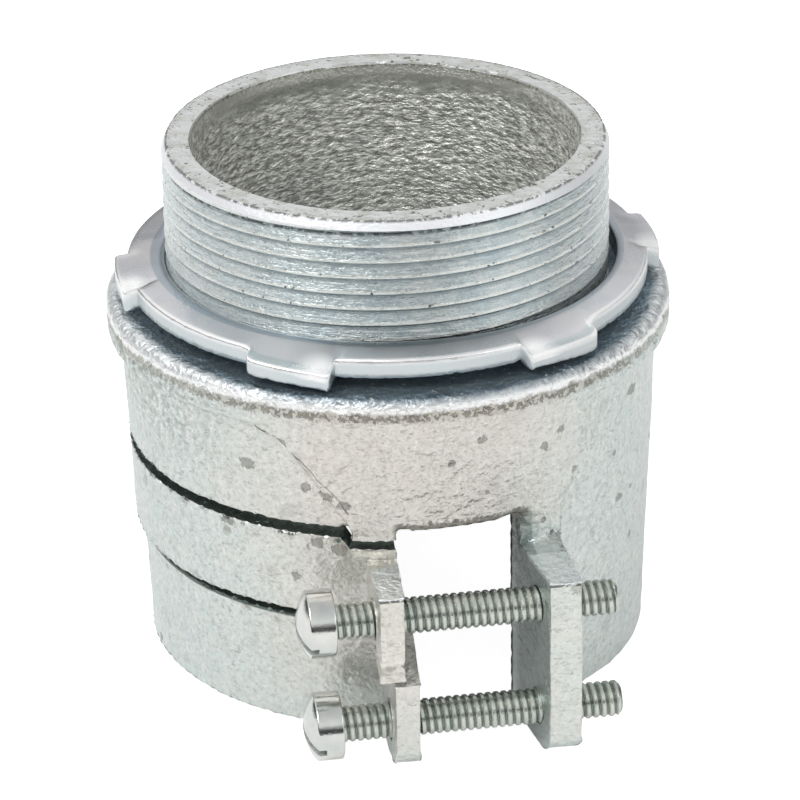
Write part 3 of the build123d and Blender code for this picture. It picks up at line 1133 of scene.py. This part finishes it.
def stampedZinc():
    # zinc plate on stamped steel: smooth satin with a lilac cast, with a painted highlight along
    # its edges
    material, tree = newMaterial("zincPlatedPressedSteel")
    place = objectPlace(tree)
    slow = noiseNode(place, 8.0)
    fine = noiseNode(place, 0.3, 2.0, 0.6)
    scratch = noiseNode(objectPlace(tree, (1, 0.06, 0.3)), 0.35, 1.0)
    reach = axisDistance(tree)
    across, deep, height = (coordinate(tree, axis) for axis in range(3))
    onTop = ramp(height, 53.6, 54.2)
    colour = tint("#D6D8DE", ramp(slow, 0.35, 0.65), "#E4E3E4")
    # painted reflection: a bluish band on the countersink beside the thread; painted shade under
    # the thread at the front
    countersink = times(onTop, ramp(reach, 32.3, 32.1))
    colour = tint(colour, countersink, "#9FB0BC", 0.6)
    inner = times(onTop, ramp(reach, 35.2, 30.6), ramp(deep, -22, -30))
    colour = tint(colour, times(inner, between(across, -16, 26, 4)), "#6D7476", 0.85)
    # painted shade: the outer side wall is painted darker and bluer than the top
    wall = times(ramp(height, 54.6, 54.2), ramp(reach, 35.0, 35.3))
    colour = tint(colour, wall, "#C3CFCF", 0.6)
    # painted shade: a dark ring where the bore's top edge meets the thread
    gap = times(ramp(reach, 31.5, 31.3), ramp(height, 55.15, 54.95))
    colour = tint(colour, gap, "#23292D")
    # painted highlight along the top outer edges
    colour = tint(colour, cornerMark(tree, "rimHighlight"), "#FFFFFF", 0.8)
    # painted highlight: the lugs' slopes are painted white where they turn down
    lugHighlight = ramp(cornerMark(tree, "lugHighlight"), 0.2, 0.9)
    colour = tint(colour, lugHighlight, "#FFFFFF")
    metal = times(ramp(across, 2, 18, 0.85, 0.3), ramp(lugHighlight, 0, 1, 1, 0.3))
    rough = ramp(slow, 0.3, 0.7, 0.24, 0.34)
    bump = bumps((fine, 0.02), (scratch, 0.03))
    return coated(material, colour, metal, rough, bump)


def screwZinc():
    # zinc plate on a rolled thread: bright rounded crests, with painted shade darkening the
    # grooves greenish
    material, tree = newMaterial("zincPlatedScrewThread")
    place = objectPlace(tree)
    patch = noiseNode(place, 2.0)
    fine = noiseNode(place, 0.25, 2.0, 0.6)
    groove = cornerMark(tree, "groove")
    colour = tint("#C4CBC4", ramp(patch, 0.35, 0.65), "#D9DCD4")
    # painted shade: the grooves are painted dark green-grey
    colour = tint(colour, ramp(groove, 0.25, 0.95, 0, 0.7), "#4E5B52")
    rough = ramp(patch, 0.3, 0.7, 0.2, 0.32)
    bump = bumps((fine, 0.03))
    return coated(material, colour, 0.85, rough, bump)


def slotZinc():
    # the sawn slots keep a duller plate
    material, tree = newMaterial("zincPlatedScrewSlot")
    saw = noiseNode(objectPlace(tree, (0.3, 1, 1)), 0.25)
    colour = tint("#A3A8A5", ramp(saw, 0.35, 0.65), "#CDD1CE")
    return coated(material, colour, 0.2, 0.5, bumps((saw, 0.03)))


def headZinc():
    # the turned heads are smoother than the threads: they show the room as dark and light bands
    material, tree = newMaterial("zincPlatedScrewHead")
    place = objectPlace(tree)
    patch = noiseNode(place, 3.0)
    fine = noiseNode(place, 0.3, 2.0, 0.6)
    colour = tint("#D0D4D2", ramp(patch, 0.35, 0.65), "#E0E0DC")
    rough = ramp(patch, 0.3, 0.7, 0.1, 0.17)
    bump = bumps((fine, 0.015))
    return coated(material, colour, 0.95, rough, bump)


coat(castBody, zincCasting(casting))
coat(threadedSpigot, zincThread(), machinedRim(), roughThroat())
throatReach, throatTop = spigot["throatZone"]
for face in threadedSpigot.data.polygons:
    reach = math.hypot(face.center.x, face.center.y) / mm
    height = face.center.z / mm
    if reach < throatReach and height < throatTop:
        face.material_index = 2
    elif height > spigot["chamferFoot"]:
        face.material_index = 1
coat(stampedLocknut, stampedZinc())
screwFinishes = (screwZinc(), headZinc(), slotZinc())
for piece, (_, underHead, height, turned, _) in zip(clampScrews, screw["places"]):
    coat(piece, *screwFinishes)
    slotFloor = underHead - screw["headSide"] - screw["headDome"] + screw["slotDepth"]
    turn = math.radians(turned)
    for face in piece.data.polygons:
        across, deep, up = (c / mm for c in face.center)
        fromSlot = (deep - screw["axisReach"]) * math.cos(turn) + (up - height) * math.sin(turn)
        if across < underHead + 0.05:
            inSlot = abs(fromSlot) < screw["slotWidth"] / 2 + 0.01 and across < slotFloor + 0.05
            face.material_index = 2 if inSlot else 1
print("finishes done")


# Floor, world and lamps

studio = {
    "floor": "#E8E8E8",
    "floorSize": 8.0,
    "floorDrop": 0.00005,  # the floor lies this much below the casting
    "floorGlow": 0.85,  # added where the camera sees the floor
    "floorShine": 0.25,  # added where metal shows it
    "horizon": (0.26, 0.48, 0.05, 1.05),  # the room is dark below and pale above this band
    "ceiling": (0.6, 1.0, 1.0, 0.7),
    "sides": (-0.5, 0.7, 1.0, 0.72),  # and a little darker to the right
    "lamps": (  # name, place, size and power
        ("keyLamp", (-0.5, -0.35, 0.75), 0.5, 3.3),
        ("fillLamp", (0.6, -0.5, 0.35), 0.6, 1.0),
    ),
    "lampAim": (0, 0, 0.03),
}


def makeFloor(spec):
    deselectAll()
    bpy.ops.mesh.primitive_plane_add(
        size=spec["floorSize"], location=(0, 0, -spec["floorDrop"]),
    )
    floor = bpy.context.object
    floor.name = "studioFloor"
    settle(floor)
    material, tree = newMaterial("paperFloor")
    rays = addNode(tree, "ShaderNodeLightPath")
    paper = addNode(tree, "ShaderNodeBsdfDiffuse", None, {"Color": hexColour(spec["floor"])})
    seen = times(rays.outputs["Is Camera Ray"], spec["floorGlow"])
    shown = times(rays.outputs["Is Glossy Ray"], spec["floorShine"])
    glow = addNode(tree, "ShaderNodeEmission", None, {
        "Color": hexColour("#FFFFFF"), "Strength": plus(seen, shown),
    })
    finishMaterial(tree, addNode(tree, "ShaderNodeAddShader", None, {
        0: paper.outputs[0], 1: glow.outputs[0],
    }))
    coat(floor, material)


def makeRoom(spec):
    world = bpy.data.worlds.new("paleStudio")
    bpy.context.scene.world = world
    world.use_nodes = True
    tree = world.node_tree
    tree.nodes.clear()
    rays = addNode(tree, "ShaderNodeLightPath")
    place = addNode(tree, "ShaderNodeTexCoord")
    parts = addNode(tree, "ShaderNodeSeparateXYZ", None, {0: place.outputs["Generated"]})
    horizon = ramp(parts.outputs[2], *spec["horizon"])
    ceiling = ramp(parts.outputs[2], *spec["ceiling"])
    sides = ramp(parts.outputs[0], *spec["sides"])
    level = times(times(horizon, ceiling), sides)
    plain = larger(level, rays.outputs["Is Camera Ray"])
    sky = addNode(tree, "ShaderNodeBackground", None, {
        "Color": hexColour("#FFFFFF"), "Strength": plain,
    })
    addNode(tree, "ShaderNodeOutputWorld", None, {"Surface": sky.outputs[0]})


def hangLamps(spec):
    for name, place, size, power in spec["lamps"]:
        data = bpy.data.lights.new(name, "AREA")
        data.size = size
        data.energy = power
        lamp = newObject(name, data)
        lamp.location = place
        aim = Vector(spec["lampAim"]) - Vector(place)
        lamp.rotation_euler = aim.to_track_quat("-Z", "Y").to_euler()


makeFloor(studio)
makeRoom(studio)
hangLamps(studio)
bpy.context.scene.view_settings.view_transform = "Standard"
print("studio done")


# What each piece moves with and stands for, and the name of its finish

rides = (
    (castBody, "casting", ("connector_body",), "zinc_plated_casting"),
    (threadedSpigot, "casting", (), "zinc_plated_casting"),
    (stampedLocknut, "nut", ("locknut",), "zinc_plated_steel"),
    (clampScrews[0], "upper_screw", ("upper_clamp_screw",), "zinc_plated_screw"),
    (clampScrews[1], "lower_screw", ("lower_clamp_screw",), "zinc_plated_screw"),
)
for piece, body, nodes, slotName in rides:
    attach(piece, body)
    if nodes:
        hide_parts(*nodes)
